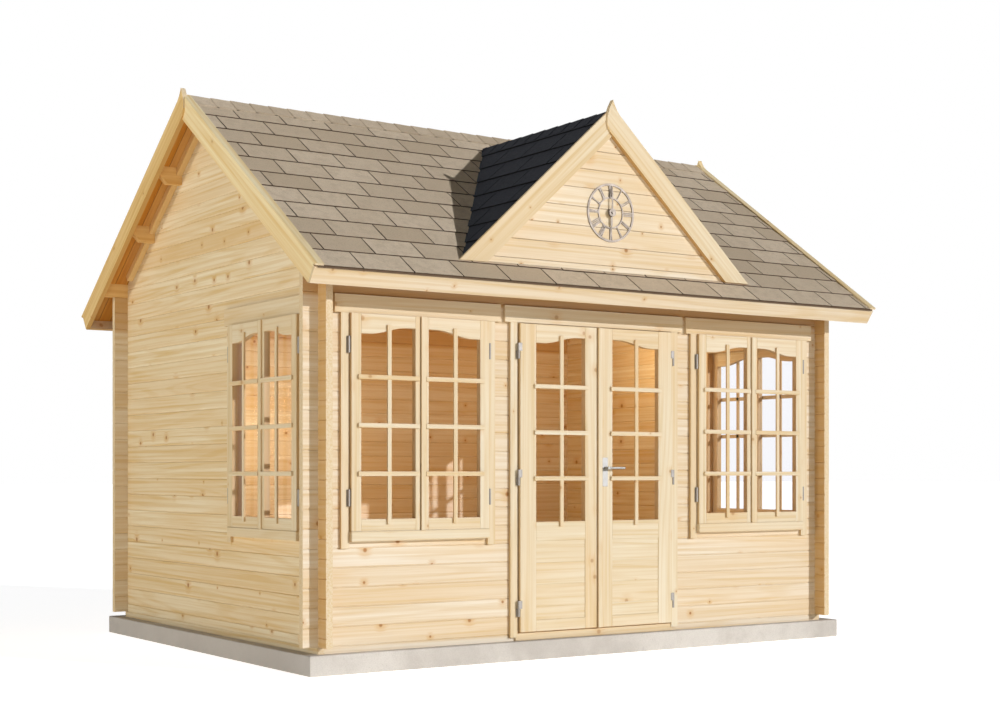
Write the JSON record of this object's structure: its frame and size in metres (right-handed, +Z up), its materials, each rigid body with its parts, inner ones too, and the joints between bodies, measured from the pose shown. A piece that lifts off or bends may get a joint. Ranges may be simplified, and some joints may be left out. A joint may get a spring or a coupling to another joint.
{
  "type": "log garden house with clock gable",
  "caption": "Pitched-roof log garden house with crossed corners, glazed double doors, casement windows and a small clock gable, standing on a concrete slab.",
  "frame": {"origin": "middle of the slab's underside, under the middle of the roof", "axes": "+Z up, front with the doors faces -Y, +X to the right of someone facing the doors"},
  "size_m": [4.414, 3.7276, 3.6548],
  "materials": {
    "concrete": "matte",
    "pine_logs": "planed",
    "pine_trim": "planed",
    "pine_boards": "planed",
    "brown_shingles": "granulated",
    "dark_shingles": "granulated",
    "glass": "clear",
    "steel": "satin",
    "clock_metal": "weathered"
  },
  "bodies": {
    "house": {"foundation_slab": "concrete", "floor_boards": "pine_boards", "front_wall_left": "pine_logs", "front_wall_right": "pine_logs", "front_wall_over_door": "pine_logs", "back_wall": "pine_logs", "left_wall": "pine_logs", "right_wall": "pine_logs", "wall_plates": "pine_boards", "purlins": "pine_boards", "roof_deck_front": "pine_boards", "roof_deck_back": "pine_boards", "roof_covering": "brown_shingles", "eave_fascias": "pine_trim", "bargeboards_front": "pine_trim", "bargeboards_back": "pine_trim", "dormer_front": "pine_trim", "dormer_deck": "pine_boards", "dormer_covering": "dark_shingles", "dormer_bargeboard_left": "pine_trim", "dormer_bargeboard_right": "pine_trim", "clock_dial": "clock_metal", "window_frame_front_left": "pine_trim", "window_frame_front_right": "pine_trim", "window_frame_left": "pine_trim", "window_frame_right": "pine_trim", "sashes_front_left": "pine_trim", "sashes_front_right": "pine_trim", "sashes_left": "pine_trim", "sashes_right": "pine_trim", "window_glass": "glass", "window_hinges": "steel", "door_frame": "pine_trim", "door_frame_hinges": "steel"},
    "left_door": {"left_door_leaf": "pine_trim", "left_door_glass": "glass", "left_leaf_hinges": "steel"},
    "right_door": {"right_door_leaf": "pine_trim", "right_door_glass": "glass", "right_leaf_hinges": "steel", "lock_plate": "steel"},
    "lever": {"door_lever": "steel"},
    "minute_hand": {"minute_hand": "clock_metal"},
    "hour_hand": {"hour_hand": "clock_metal"}
  },
  "joints": [
    {"name": "left_door_hinge", "type": "hinge", "parent": "house", "child": "left_door", "pos_m": [-0.622, -1.55, 1.12], "axis": [0, 0, -1], "range_deg": [0, 120]},
    {"name": "right_door_hinge", "type": "hinge", "parent": "house", "child": "right_door", "pos_m": [0.622, -1.55, 1.12], "axis": [0, 0, 1], "range_deg": [0, 120]},
    {"name": "lever_turn", "type": "hinge", "parent": "right_door", "child": "lever", "pos_m": [0.04833, -1.555, 1.199], "axis": [0, 1, 0], "range_deg": [0, 35], "stiffness_Nm_per_rad": 1.5, "springref_deg": -34.38},
    {"name": "minute_hand_turn", "type": "hinge", "parent": "house", "child": "minute_hand", "pos_m": [0, -1.675, 2.82316], "axis": [0, 1, 0], "continuous": true},
    {"name": "hour_hand_turn", "type": "hinge", "parent": "house", "child": "hour_hand", "pos_m": [0, -1.675, 2.82316], "axis": [0, 1, 0], "continuous": true}
  ],
  "couplings": [
    {"joint": "hour_hand_turn", "follows": "minute_hand_turn", "ratio": 0.083333}
  ]
}
